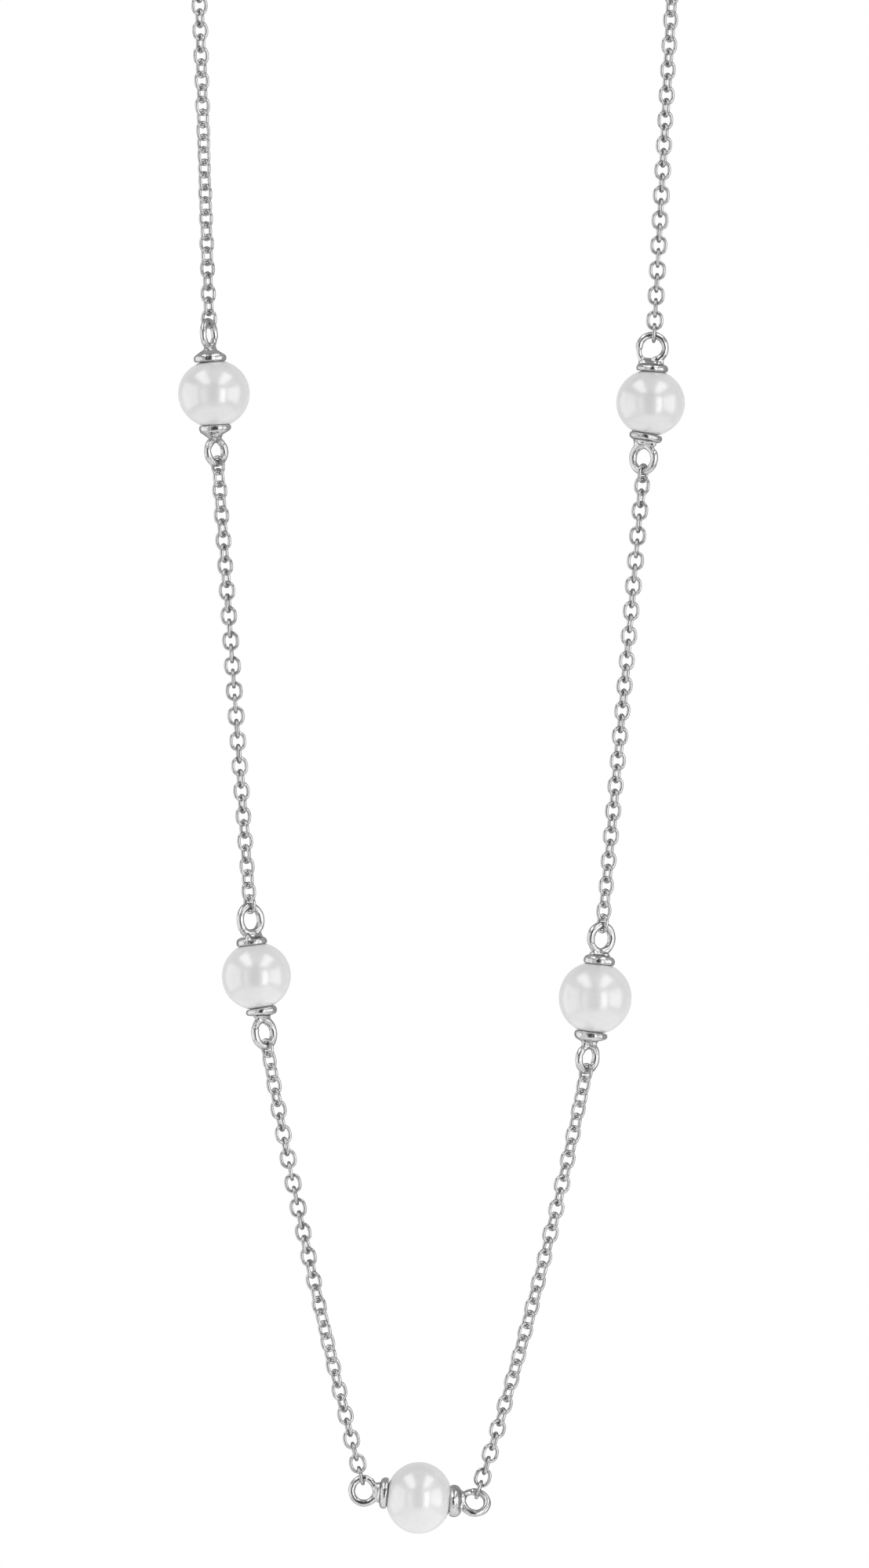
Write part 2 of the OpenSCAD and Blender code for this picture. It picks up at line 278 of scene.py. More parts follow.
# The cast skin: the voxels that melt the parts, how strongly and how often the skin is
# smoothed, and the height and length of its waves and of its finer grain, whose seed counts on
# from the cap's. Both come in between two heights from the pole, so the peg stays plain, and
# lose a share between two heights up the ring.
CAP_VOXEL = 0.042
CAP_SMOOTH_FACTOR = 0.5
CAP_SMOOTHING = 11
CAST_WAVE = 0.014
CAST_WAVE_LONG = 0.8
CAST_GRAIN = 0.011
CAST_GRAIN_LONG = 0.3
CAST_GRAIN_SEED = 40
CAST_FROM = -0.3
CAST_FULL = -0.1
RING_PLAINER = 0.6
RING_PLAINER_FROM = 1.0
RING_PLAINER_FULL = 1.8
# Pits of the casting: their number, their least and most radius, and their depth to the radius
PITS = 14
PIT_R_LEAST = 0.05
PIT_R_MOST = 0.10
PIT_DEEP = 0.25

# Links: the wire's radius, the link's whole length and width, its net, the pitch of the hidden
# links, and how far each link may be turned round the run and tilted, in degrees
LINK_WIRE_R = 0.15
LINK_LONG = 1.70
LINK_WIDE = 1.46
LINK_STEPS = 12
WIRE_SIDES = 6
LINK_PITCH = 1.055
LINK_TURN_PLAY = 4.0
LINK_TILT_PLAY = 2.0
# The corners of the frame's links are welded on a grid as fine as this
WELD = 0.0001

# The arch over the top: its radius, and how far from the middle it is at the end ring's height
ARCH_R = 22.4
ARCH_MEET_X = 4.35
# The rings that the last links hook into: their wires' width, and the gap to the link's wire
CLASP_EYE_WIRE = 0.6
END_RING_WIRE = 0.5
HOOK_GAP = 0.05

# The chain runs between two pearls: how the node's name ends, and how far the links are
# turned round the run beside the frame's turn, in degrees. The steady turn grows evenly from
# the lowest link up, the swell is most halfway up, and the swing is most at a quarter of the
# way up, and at three quarters the other way.
Run = namedtuple("Run", "name steady swell swing seed")
RUNS = [
    Run("mid_left", 0, 0, 0, 30),
    Run("low_left", 180, 0, 0, 31),
    Run("low_right", 0, 10, 18, 32),
    Run("mid_right", -180, 16, -10, 33),
]

# The runs above the upper pearls: which side they are on, the turn of the top shown link
# beside the frame's, the last hidden link's angle from the loop's plane, and the seed
Upper = namedtuple("Upper", "hand side top_turn end_angle seed")
UPPER_LEFT = Upper("left", -1, 0, 0, 40)
UPPER_RIGHT = Upper("right", 1, -70, 90, 42)


def wrapped_quads(rows, cols, close_rows):
    """Quads between a grid's points, numbered row by row.

    The last column joins the first, and the last row joins the first one if asked.
    """
    r = np.arange(rows if close_rows else rows - 1)[:, None]
    c = np.arange(cols)[None, :]
    r_next = (r + 1) % rows
    c_next = (c + 1) % cols
    corners = [r * cols + c, r * cols + c_next, r_next * cols + c_next, r_next * cols + c]
    return np.stack(corners, axis=-1).reshape(-1, 4)


def new_piece(name, points, quads):
    """A smooth shaded object from an array of points and an array of quads."""
    mesh = bpy.data.meshes.new(name)
    mesh.vertices.add(len(points))
    mesh.vertices.foreach_set("co", points.astype(np.float32).ravel())
    mesh.loops.add(quads.size)
    mesh.loops.foreach_set("vertex_index", quads.astype(np.int32).ravel())
    mesh.polygons.add(len(quads))
    mesh.polygons.foreach_set("loop_start", np.arange(0, quads.size, 4, dtype=np.int32))
    mesh.update(calc_edges=True)
    mesh.shade_smooth()
    piece = bpy.data.objects.new(name, mesh)
    bpy.context.scene.collection.objects.link(piece)
    return piece


def read_points(mesh, kind):
    """A mesh's corners, or their normals, as rows of three numbers."""
    values = np.empty(len(mesh.vertices) * 3, np.float32)
    mesh.vertices.foreach_get(kind, values)
    return values.reshape(-1, 3).astype(float)


def dress(piece, material, slot, *nodes):
    """Gives a piece its material, and puts it in the place of the frame's nodes."""
    piece.data.materials.append(material)
    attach(piece, BODY)
    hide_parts(*nodes)


def unit(v):
    """The same ways, each of length 1."""
    return v / np.linalg.norm(v, axis=-1, keepdims=True)


def soft_noise(points, scale, seed):
    """Smooth uneven field: the mean of a few sine waves that run in seeded directions."""
    rng = np.random.default_rng(seed)
    ways = unit(rng.normal(size=(SOFT_WAVES, 3)))
    ways = ways * rng.uniform(SOFT_RATE_LEAST, SOFT_RATE_MOST, (SOFT_WAVES, 1)) / scale
    shifts = rng.uniform(0, 2 * math.pi, SOFT_WAVES)
    return np.sin(points @ ways.T * 2 * math.pi + shifts).mean(axis=-1)


def smoothstep(low, high, x):
    """0 below low and 1 above high, and 3 t squared - 2 t cubed at the share t between them."""
    t = np.clip((x - low) / (high - low), 0, 1)
    return t * t * (3 - 2 * t)


def rounded_ends(t, power):
    """1 along most of the way from 0 to 1, and down to 0 on a round curve at both ends."""
    return np.sqrt(np.clip(1 - np.abs(2 * t - 1) ** power, 0, 1))


def around(sides):
    """Angles once round, as one row."""
    return np.linspace(0, 2 * math.pi, sides, endpoint=False)[None, :]


# Materials


def grey(tone):
    """A tone as a colour."""
    return (tone, tone, tone, 1)


def new_material(name):
    """A node material: its nodes, links and Principled shader, and the piece's own coordinates."""
    material = bpy.data.materials.new(name)
    material.use_nodes = True
    nodes = material.node_tree.nodes
    place = nodes.new("ShaderNodeTexCoord").outputs["Object"]
    return material, nodes, material.node_tree.links, nodes["Principled BSDF"], place


def noise_at(nodes, links, place, scale, detail):
    """Noise at the coordinates of a place, with features of about 1 / scale."""
    noise = nodes.new("ShaderNodeTexNoise")
    noise.inputs["Scale"].default_value = scale
    noise.inputs["Detail"].default_value = detail
    links.new(place, noise.inputs["Vector"])
    return noise


def ranged(nodes, links, value, low, high):
    """A noise value stretched over the range from low to high."""
    spread = nodes.new("ShaderNodeMapRange")
    spread.inputs["From Min"].default_value = RANGE_FROM
    spread.inputs["From Max"].default_value = RANGE_TO
    spread.inputs["To Min"].default_value = low
    spread.inputs["To Max"].default_value = high
    links.new(value, spread.inputs["Value"])
    return spread.outputs["Result"]


def tinted(nodes, links, value, first, second):
    """A colour between two, as a noise value goes from low to high."""
    ramp = nodes.new("ShaderNodeValToRGB")
    ramp.color_ramp.elements[0].position = TINT_FROM
    ramp.color_ramp.elements[0].color = first
    ramp.color_ramp.elements[1].position = TINT_TO
    ramp.color_ramp.elements[1].color = second
    links.new(value, ramp.inputs["Fac"])
    return ramp.outputs["Color"]


def raised(nodes, links, height, distance, strength, under=None):
    """A bump from a height value, as high as distance, over another bump if there is one."""
    bump = nodes.new("ShaderNodeBump")
    bump.inputs["Distance"].default_value = distance * MM
    bump.inputs["Strength"].default_value = strength
    links.new(height, bump.inputs["Height"])
    if under is not None:
        links.new(under, bump.inputs["Normal"])
    return bump.outputs["Normal"]


def make_nacre(pearl):
    """White nacre: a soft mirror over a milky body, with faint clouds, and rings of growth.

    The rings are noise in thin flat layers across the drill hole, which the pearl's round
    skin cuts into circles.
    """
    material, nodes, links, shader, place = new_material("white_nacre_" + pearl.node)
    clouds = noise_at(nodes, links, place, CLOUDS, detail=8)
    clouds.inputs["Roughness"].default_value = 0.6
    lean = nodes.new("ShaderNodeMapping")
    lean.vector_type = "TEXTURE"
    lean.inputs["Rotation"].default_value = (0, math.radians(pearl.lean), 0)
    lean.inputs["Scale"].default_value = (1 / RINGS_ACROSS, 1 / RINGS_ACROSS, 1 / RINGS_ALONG)
    links.new(place, lean.inputs["Vector"])
    rings = noise_at(nodes, links, lean.outputs["Vector"], 1, detail=1)
    cloudy = clouds.outputs["Fac"]
    tone = tinted(nodes, links, cloudy, NACRE_DIM, NACRE_BRIGHT)
    blur = ranged(nodes, links, cloudy, pearl.blur - BLUR_DRIFT, pearl.blur + BLUR_DRIFT)
    bump = raised(nodes, links, rings.outputs["Fac"], RING_HIGH, strength=0.5)
    links.new(tone, shader.inputs["Base Color"])
    links.new(blur, shader.inputs["Roughness"])
    links.new(bump, shader.inputs["Normal"])
    shader.inputs["Metallic"].default_value = 0.12
    shader.inputs["Specular IOR Level"].default_value = 0.65
    shader.inputs["Coat Weight"].default_value = 0.2
    shader.inputs["Coat Roughness"].default_value = 0.15
    return material


def make_silver(silver):
    """Bright silver: a mirror whose tone, shine and surface are a little uneven."""
    material, nodes, links, shader, place = new_material(silver.name)
    patches = noise_at(nodes, links, place, SILVER_PATCHES, detail=3).outputs["Fac"]
    dents = noise_at(nodes, links, place, silver.dents, detail=2).outputs["Fac"]
    grain = noise_at(nodes, links, place, SILVER_GRAIN, detail=2).outputs["Fac"]
    tone = tinted(nodes, links, patches, grey(silver.dim), grey(silver.bright))
    shine = ranged(nodes, links, patches, silver.smooth, silver.rough)
    dented = raised(nodes, links, dents, silver.dent_deep, strength=1.0)
    grained = raised(nodes, links, grain, silver.grain_deep, strength=0.5, under=dented)
    links.new(tone, shader.inputs["Base Color"])
    links.new(shine, shader.inputs["Roughness"])
    links.new(grained, shader.inputs["Normal"])
    shader.inputs["Metallic"].default_value = 1.0
    shader.inputs["Specular Tint"].default_value = grey(silver.edge)
    return material


# Pearls


def pearl_frame(pearl):
    """The pearl's own X, Y and Z ways in the frame, with Z along the drill hole."""
    a = math.radians(pearl.lean)
    return np.array([[math.cos(a), 0, -math.sin(a)], [0, 1, 0], [math.sin(a), 0, math.cos(a)]])


def pearl_middle(pearl):
    """The middle of the drill hole in the frame."""
    return np.array([pearl.x, 0, pearl.z])


def make_pearl(pearl, material):
    """A flattened ball swept round its drill hole, and closed down the hole's wall.

    At the angle u round the hole, the pearl's arc runs from one edge of the hole to the
    other: height = c cos v, and the distance from the hole's middle is the one at which
    that height's circle, which is off the hole by `off`, is met. Low waves lift the skin,
    and fade where the caps sit.
    """
    a = pearl.across / 2
    c = pearl.along / 2
    u = around(PEARL_SIDES)
    t = np.linspace(0, 1, PEARL_ROWS)[:, None]
    edge = np.sqrt(DRILL_R**2 - 2 * DRILL_R * pearl.off * np.cos(u) + pearl.off**2)
    v_first = np.arcsin(edge / a)
    v = v_first + (math.pi - 2 * v_first) * t
    circle = a * np.sin(v)
    reach = pearl.off * np.cos(u) + np.sqrt(circle**2 - (pearl.off * np.sin(u)) ** 2)
    skin = np.stack([reach * np.cos(u), reach * np.sin(u), c * np.cos(v)], axis=-1)
    out = unit(np.stack([np.cos(u) * np.sin(v), np.sin(u) * np.sin(v), np.cos(v)], axis=-1))
    free = smoothstep(PEARL_WAVE_FROM, PEARL_WAVE_FULL, np.sin(v))[..., None]
    wave = soft_noise(skin, PEARL_WAVE_LONG, pearl.seed)
    ripple = PEARL_RIPPLE * soft_noise(skin, PEARL_RIPPLE_LONG, pearl.seed + PEARL_RIPPLE_SEED)
    skin = skin + out * (wave + ripple)[..., None] * free * PEARL_WAVE
    down = np.linspace(0, 1, DRILL_ROWS + 2)[1:-1, None, None]
    wall = skin[-1] * (1 - down) + skin[0] * down
    local = np.concatenate([skin, wall])
    points = (local.reshape(-1, 3) @ pearl_frame(pearl) + pearl_middle(pearl)) * MM
    quads = wrapped_quads(PEARL_ROWS + DRILL_ROWS, PEARL_SIDES, True)[:, ::-1]
    piece = new_piece("nacre_" + pearl.node, points, quads)
    dress(piece, material, "pearl", pearl.node)


# Caps


def cap_turn(cap):
    """The eye ring's turn in radians, seen with the ring up."""
    pearl = PEARLS[cap.pearl]
    return math.radians(cap.end * (pearl.turn_1 if cap.end == 1 else pearl.turn_2))


def cap_rise(cap):
    """How far the eye ring's middle stands off the pearl's pole."""
    pearl = PEARLS[cap.pearl]
    return pearl.rise_1 if cap.end == 1 else pearl.rise_2


def turned(points, cap):
    """Points turned about the drill hole by the ring's turn."""
    cos = math.cos(cap_turn(cap))
    sin = math.sin(cap_turn(cap))
    return points @ np.array([[cos, sin, 0], [-sin, cos, 0], [0, 0, 1]])


def rim_part(cap, pearl):
    """A round rim: the seat, the rounded edge and the sloping top, swept round the hole.

    The profile is an arc of the seat's ball, then an arc of the edge, then a straight
    slope to the middle. The sweep makes one side thicker, by a cosine of the angle, and
    the rim is then tilted about the pearl's pole and shifted.
    """
    pole = pearl.along / 2
    seat_r = pearl.across**2 / (2 * pearl.along) + SEAT_GAP
    edge_r = (cap.low + cap.high) / 2
    edge_x = cap.rim_r - edge_r
    edge_z = pole + edge_r - cap.low
    edge = np.radians(np.linspace(RIM_EDGE_START, 90 - cap.slope, RIM_EDGE_STEPS))
    arc_x = edge_x + edge_r * np.cos(edge)
    arc_z = edge_z + edge_r * np.sin(edge)
    seat_x = np.linspace(0, arc_x[0], RIM_FLAT_STEPS)[:-1]
    seat_z = np.sqrt(seat_r**2 - seat_x**2) - seat_r + SEAT_GAP + pole
    top_x = np.linspace(arc_x[-1], 0, RIM_FLAT_STEPS)[1:]
    top_z = arc_z[-1] + (arc_x[-1] - top_x) * math.tan(math.radians(cap.slope))
    x = np.concatenate([seat_x, arc_x, top_x])[:, None]
    z = np.concatenate([seat_z, arc_z, top_z])[:, None]
    angle = around(RIM_SIDES)
    oval = RIM_OVAL * np.cos(2 * angle + cap.seed)
    lumps = RIM_LUMPS * np.cos(5 * angle + 2 * cap.seed)
    x = x * (1 + oval + lumps)
    thick = 1 + cap.uneven * np.cos(angle - cap.seed)
    z = np.where(z > pole, pole + (z - pole) * thick, z + 0 * angle)
    tilt = math.radians(cap.tilt)
    points = np.stack([
        cap.rim_x + x * np.cos(angle) * math.cos(tilt) - (z - pole) * math.sin(tilt),
        x * np.sin(angle),
        pole + (z - pole) * math.cos(tilt) + x * np.cos(angle) * math.sin(tilt),
    ], axis=-1)
    return points.reshape(-1, 3), wrapped_quads(len(z), RIM_SIDES, False)


def solder_part(cap, pole):
    """Solder from the rim up between the ring's legs: ellipses that draw in on a hollow curve.

    Its foot spreads over most of the way to the rim's edge, and the top sinks in the middle,
    by the square of the place along the ring.
    """
    t = np.linspace(0, 1, SOLDER_ROWS)[:, None]
    spread = SOLDER_SPREAD * (1 - t) ** SOLDER_SPREAD_POWER
    close = rounded_ends(t, SOLDER_ROUND_POWER)
    angle = around(SOLDER_SIDES)
    x = (cap.wide + spread * (cap.rim_r - SOLDER_INSIDE - cap.wide)) * close * np.cos(angle)
    y = (SOLDER_DEEP + spread * (cap.rim_r - SOLDER_INSIDE - SOLDER_DEEP)) * close * np.sin(angle)
    foot = pole + cap.high - SOLDER_SUNK
    rise = pole + cap.top - cap.hollow - foot + 2 * cap.hollow * (x / cap.wide) ** 2
    z = foot + rise * t
    points = np.stack([cap.ring_x + x, y, z], axis=-1).reshape(-1, 3)
    return turned(points, cap), wrapped_quads(SOLDER_ROWS, SOLDER_SIDES, False)


def drop_part(drop, pole):
    """A drop of solder: a ball whose width, depth and height are stretched to its half sizes."""
    x, y, z, wide, deep, high = drop
    v = np.linspace(DROP_TIP, math.pi - DROP_TIP, DROP_ROWS)[:, None]
    u = around(DROP_SIDES)
    ball = np.stack([
        x + wide * np.sin(v) * np.cos(u),
        y + deep * np.sin(v) * np.sin(u),
        pole + z - high * np.cos(v) + 0 * u,
    ], axis=-1)
    return ball.reshape(-1, 3), wrapped_quads(DROP_ROWS, DROP_SIDES, False)


def peg_part(pole):
    """The peg in the drill hole: a rod with rounded ends, up into the rim."""
    t = np.linspace(0, 1, PEG_ROWS)[:, None]
    close = rounded_ends(t, PEG_ROUND_POWER)
    angle = around(PEG_SIDES)
    z = PEG_END + (pole + PEG_IN_RIM - PEG_END) * t + 0 * angle
    x = PEG_R * close * np.cos(angle)
    y = PEG_R * close * np.sin(angle)
    return np.stack([x, y, z], axis=-1).reshape(-1, 3), wrapped_quads(PEG_ROWS, PEG_SIDES, False)


def ring_part(cap, pole):
    """The eye ring: a round wire carried round an oval whose legs run down into the solder.

    The path is half width x |sin f| to the power of its leg, and half height x cos f. From
    its closed end to the foot the wire is `step` times as thick, with a notch at that end.
    """
    f = around(RING_STEPS)[0]
    top = pole + cap_rise(cap) + EYE_INSIDE_R + cap.wire
    foot = pole + cap.foot
    power = np.where(np.cos(f) > 0, 1.0, np.where(np.sin(f) < 0, cap.left, cap.right))
    across = cap.ring_r * np.sign(np.sin(f)) * np.abs(np.sin(f)) ** power
    path = np.stack([across, 0 * f, (top + foot) / 2 + (top - foot) / 2 * np.cos(f)], axis=-1)
    way = unit(np.roll(path, -1, axis=0) - np.roll(path, 1, axis=0))
    side = np.stack([way[:, 2], 0 * f, -way[:, 0]], axis=-1)
    seam = math.radians(cap.seam)
    hand = np.sign(seam - math.pi)
    from_seam = smoothstep(0, STEP_AT_SEAM, hand * (seam - f))
    to_foot = smoothstep(-STEP_AT_FOOT, 0, hand * (f - math.pi))
    stepped = 1 - (1 - cap.step) * (from_seam * to_foot)
    notch = NOTCH_DEEP * np.exp(-(((f - seam) / NOTCH_WIDE) ** 2))
    low = (1 - np.cos(f)) / 2
    uneven = RING_WAVE * np.sin(3 * f + cap.seed) + RING_RIPPLE * np.sin(7 * f + 2 * cap.seed)
    wire = cap.wire * (1 + RING_FOOT_MORE * low**3 + uneven - notch) * stepped
    angle = around(RING_SIDES)[..., None]
    round_wire = side[:, None, :] * np.cos(angle) + np.array([0, 1, 0]) * np.sin(angle)
    points = path[:, None, :] + round_wire * wire[:, None, None]
    shift = cap.ring_x / max(math.cos(cap_turn(cap)), RING_LEAST_COS)
    points = points.reshape(-1, 3) + np.array([shift, 0, 0])
    return turned(points, cap), wrapped_quads(RING_STEPS, RING_SIDES, True)


def melted(name, parts):
    """Closed parts, in millimetres, run together into one skin and smoothed, as solder does."""
    counts = np.cumsum([0] + [len(points) for points, _ in parts[:-1]])
    points = np.concatenate([points for points, _ in parts])
    quads = np.concatenate([quads + count for (_, quads), count in zip(parts, counts)])
    rough = new_piece(name + "_rough", points, quads)
    remesh = rough.modifiers.new("skin", "REMESH")
    remesh.mode = "VOXEL"
    remesh.voxel_size = CAP_VOXEL
    remesh.use_smooth_shade = True
    smooth = rough.modifiers.new("flow", "SMOOTH")
    smooth.factor = CAP_SMOOTH_FACTOR
    smooth.iterations = CAP_SMOOTHING
    evaluated = rough.evaluated_get(bpy.context.evaluated_depsgraph_get())
    mesh = bpy.data.meshes.new_from_object(evaluated)
    bpy.data.objects.remove(rough)
    return mesh


def make_cap(cap, material):
    """One cast cap with its eye ring, melted together from rim, peg, solder and ring.

    Its skin is then lifted by low seeded waves, and dented by a few seeded round pits.
    """
    pearl = PEARLS[cap.pearl]
    pole = pearl.along / 2
    parts = [rim_part(cap, pearl), peg_part(pole), solder_part(cap, pole), ring_part(cap, pole)]
    parts += [drop_part(drop, pole) for drop in DROPS[cap.node]]
    mesh = melted(cap.node, parts)
    points = read_points(mesh, "co")
    normals = read_points(mesh, "normal")
    height = points[:, 2] - pole
    free = smoothstep(CAST_FROM, CAST_FULL, height)
    kept = 1 - RING_PLAINER * smoothstep(RING_PLAINER_FROM, RING_PLAINER_FULL, height)
    wave = CAST_WAVE * soft_noise(points, CAST_WAVE_LONG, cap.seed)
    wave = wave + CAST_GRAIN * soft_noise(points, CAST_GRAIN_LONG, cap.seed + CAST_GRAIN_SEED)
    rng = np.random.default_rng(cap.seed)
    pits = points[rng.integers(0, len(points), PITS)]
    pit_r = rng.uniform(PIT_R_LEAST, PIT_R_MOST, PITS)
    far = np.linalg.norm(points[:, None, :] - pits[None, :, :], axis=-1)
    dent = (np.exp(-((far / pit_r) ** 2)) * pit_r * PIT_DEEP).sum(axis=1)
    points = points + normals * ((wave - dent) * kept * free)[:, None]
    flip = np.diag([cap.end, 1, cap.end])
    placed = (points @ flip @ pearl_frame(pearl) + pearl_middle(pearl)) * MM
    mesh.vertices.foreach_set("co", placed.astype(np.float32).ravel())
    mesh.update()
    mesh.shade_smooth()
    piece = bpy.data.objects.new("cast_" + cap.node, mesh)
    bpy.context.scene.collection.objects.link(piece)
    dress(piece, material, "cap_silver", cap.node)


# Chain


def link_template():
    """One link's net: a six sided wire round an oval, two half circles moved apart.

    Subdivision draws a net in, so its radii are made larger by the share that is lost.
    """
    wire_keep = (2 + math.cos(2 * math.pi / WIRE_SIDES)) / 3
    bend_keep = (2 + math.cos(2 * math.pi / LINK_STEPS)) / 3
    bend_r = LINK_WIDE / 2 - LINK_WIRE_R
    apart = (LINK_LONG - LINK_WIDE) / 2
    f = (np.arange(LINK_STEPS) + 0.5) * 2 * math.pi / LINK_STEPS
    out = np.stack([np.cos(f), 0 * f, np.sin(f)], axis=-1)
    path = out * bend_r / bend_keep
    path[:, 2] += np.sign(np.sin(f)) * apart / bend_keep
    angle = np.arange(WIRE_SIDES)[None, :, None] * 2 * math.pi / WIRE_SIDES
    round_wire = out[:, None, :] * np.cos(angle) + np.array([0, 1, 0]) * np.sin(angle)
    points = path[:, None, :] + round_wire * LINK_WIRE_R / wire_keep
    return points.reshape(-1, 3), wrapped_quads(LINK_STEPS, WIRE_SIDES, True)[:, ::-1]


def loose_parts(mesh):
    """The welded corners of a mesh, and the number of the loose part that each is in.

    Every corner takes the lowest number on its triangles, and then that corner's own
    number, again and again until nothing changes.
    """
    mesh.calc_loop_triangles()
    triangles = np.empty(len(mesh.loop_triangles) * 3, np.int32)
    mesh.loop_triangles.foreach_get("vertices", triangles)
    keys = np.round(read_points(mesh, "co") / (WELD * MM)).astype(np.int64)
    welded, index = np.unique(keys, axis=0, return_inverse=True)
    triangles = index.reshape(-1)[triangles].reshape(-1, 3)
    number = np.arange(len(welded))
    while True:
        lowest = number.copy()
        np.minimum.at(lowest, triangles.ravel(), np.repeat(number[triangles].min(axis=1), 3))
        lowest = lowest[lowest]
        if (lowest == number).all():
            break
        number = lowest
    return welded * WELD, np.unique(number, return_inverse=True)[1].reshape(-1)


def links_of(node):
    """Middle and flat side of every link of a chain node, from its lowest link up.

    The middle is the mean of the link's corners, and the flat side faces the way in which
    they spread least.
    """
    corners, part = loose_parts(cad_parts[node].data)
    counts = np.bincount(part)
    sums = [np.bincount(part, corners[:, axis]) for axis in range(3)]
    middles = np.stack(sums, axis=-1) / counts[:, None]
    spread = corners - middles[part]
    products = [[np.bincount(part, spread[:, i] * spread[:, j]) for j in range(3)] for i in range(3)]
    flat = np.linalg.eigh(np.moveaxis(np.array(products), -1, 0))[1][:, :, 0]
    order = np.argsort(middles[:, 2])
    return middles[order], flat[order]


def swung(first, second, angle):
    """Two ways that are square to each other, swung from the first towards the second."""
    return (
        first * np.cos(angle) + second * np.sin(angle),
        second * np.cos(angle) - first * np.sin(angle),
    )


def turned_round(flats, ways, degrees):
    """Flat sides turned round the links' ways."""
    return swung(flats, np.cross(ways, flats), np.radians(degrees))[0]


def level_of(way):
    """The way in the loop's plane that is square to a link's way."""
    return unit(np.cross([0, 1, 0], way))


def angle_from(flat, way):
    """Angle of a link's flat side round its way, in degrees, from the loop's plane."""
    level = level_of(way)
    return math.degrees(math.atan2(flat @ np.cross(way, level), flat @ level))


def make_links(name, middles, ways, flats, material, seed, node):
    """A run of links as one piece: the template turned and moved to every link's place.

    A little seeded play turns each link round the run and tilts it in its own plane.
    """
    rng = np.random.default_rng(seed)
    count = len(middles)
    turn = np.radians(rng.uniform(-LINK_TURN_PLAY, LINK_TURN_PLAY, count))[:, None]
    tilt = np.radians(rng.uniform(-LINK_TILT_PLAY, LINK_TILT_PLAY, count))[:, None]
    ways = unit(ways)
    flats = unit(flats - (flats * ways).sum(axis=1, keepdims=True) * ways)
    flats, sides = swung(flats, np.cross(flats, ways), turn)
    ways, sides = swung(ways, sides, tilt)
    net, quads = link_template()
    axes = np.stack([sides, flats, ways], axis=1)
    points = (np.einsum("pi,nij->npj", net, axes) + middles[:, None, :]) * MM
    all_quads = quads[None, :, :] + (np.arange(count) * len(net))[:, None, None]
    piece = new_piece(name, points.reshape(-1, 3), all_quads.reshape(-1, 4))
    rounding = piece.modifiers.new("round_wire", "SUBSURF")
    rounding.levels = 1
    rounding.render_levels = 1
    dress(piece, material, "chain_silver", node)


def make_run(run, material):
    """The links between two pearls, where the frame's links are.

    At the share t of the way up, a link is turned by steady t + swell sin(pi t)
    + swing sin(2 pi t) more.
    """
    node = "chain_" + run.name
    middles, flats = links_of(node)
    ways = unit(np.gradient(middles, axis=0))
    t = np.linspace(0, 1, len(middles))[:, None]
    more = run.steady * t + run.swell * np.sin(math.pi * t) + run.swing * np.sin(2 * math.pi * t)
    flats = turned_round(flats, ways, more)
    make_links("links_" + run.name, middles, ways, flats, material, run.seed, node)


def make_upper(upper, hook_x, material):
    """The chain above an upper pearl, and on over the arch to the clasp.

    The shown links are where the frame's are, on a straight line. At the share t of the
    way up, a link is turned by top_turn t cubed more.

    The line goes on to the arch's circle, which it touches. The hidden links follow both,
    evenly spaced, until the last one's end wire is at hook_x. Each is turned by 90 degrees
    and the same small drift past the one before, so that the last one is at end_angle.
    """
    node = "chain_upper_" + upper.hand
    middles, flats = links_of(node)
    way = unit(middles[-1] - middles[0])
    t = np.linspace(0, 1, len(middles))[:, None]
    flats = turned_round(flats, way, upper.top_turn * t**3)
    shown = "links_upper_" + upper.hand
    make_links(shown, middles, 0 * middles + way, flats, material, upper.seed, node)

    ring_low, ring_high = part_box("end_ring")
    ring_z = (ring_low[2] + ring_high[2]) / 2 / MM
    centre = np.array([0, 0, ring_z - math.sqrt(ARCH_R**2 - ARCH_MEET_X**2)])
    line = (centre - middles[-1]) @ way
    foot = middles[-1] + way * line
    half = LINK_LONG / 2 - LINK_WIRE_R
    foot_angle = math.atan2(foot[2] - centre[2], abs(foot[0]))
    last_angle = math.acos((abs(hook_x) + half) / ARCH_R)
    length = line + ARCH_R * (last_angle - foot_angle)
    count = round(length / LINK_PITCH)
    number = np.arange(1, count + 1)
    s = length * number / count
    angle = foot_angle + np.maximum(s - line, 0) / ARCH_R
    on_line = (s < line)[:, None]
    arch_x = upper.side * ARCH_R * np.cos(angle)
    arch_z = centre[2] + ARCH_R * np.sin(angle)
    arch = np.stack([arch_x, 0 * s, arch_z], axis=-1)
    arch_way = np.stack([-upper.side * np.sin(angle), 0 * s, np.cos(angle)], axis=-1)
    places = np.where(on_line, middles[-1] + way * s[:, None], arch)
    ways = np.where(on_line, way, arch_way)
    first = angle_from(flats[-1], way)
    drift = upper.end_angle - first - 90 * count
    drift = drift - 180 * round(drift / 180)
    turns = first + (90 + drift / count) * number[:, None]
    flats = turned_round(level_of(ways), ways, turns)
    hidden = "links_back_" + upper.hand
    make_links(hidden, places, ways, flats, material, upper.seed + 1, "back_chain_" + upper.hand)


# Studio


def make_camera():
    """A long level lens at the photo's distance, looking along +Y at the frame's middle."""
    data = bpy.data.cameras.new("studio_camera")
    data.sensor_width = SENSOR
    data.lens = SENSOR * CAMERA_FAR / FRAME_HIGH
    data.clip_start = 0.05
    data.clip_end = 20
    camera = bpy.data.objects.new("studio_camera", data)
    camera.location = (VIEW_CENTRE[0], -CAMERA_FAR, VIEW_CENTRE[2])
    camera.rotation_euler = (math.radians(90), 0, 0)
    bpy.context.scene.collection.objects.link(camera)
    bpy.context.scene.camera = camera


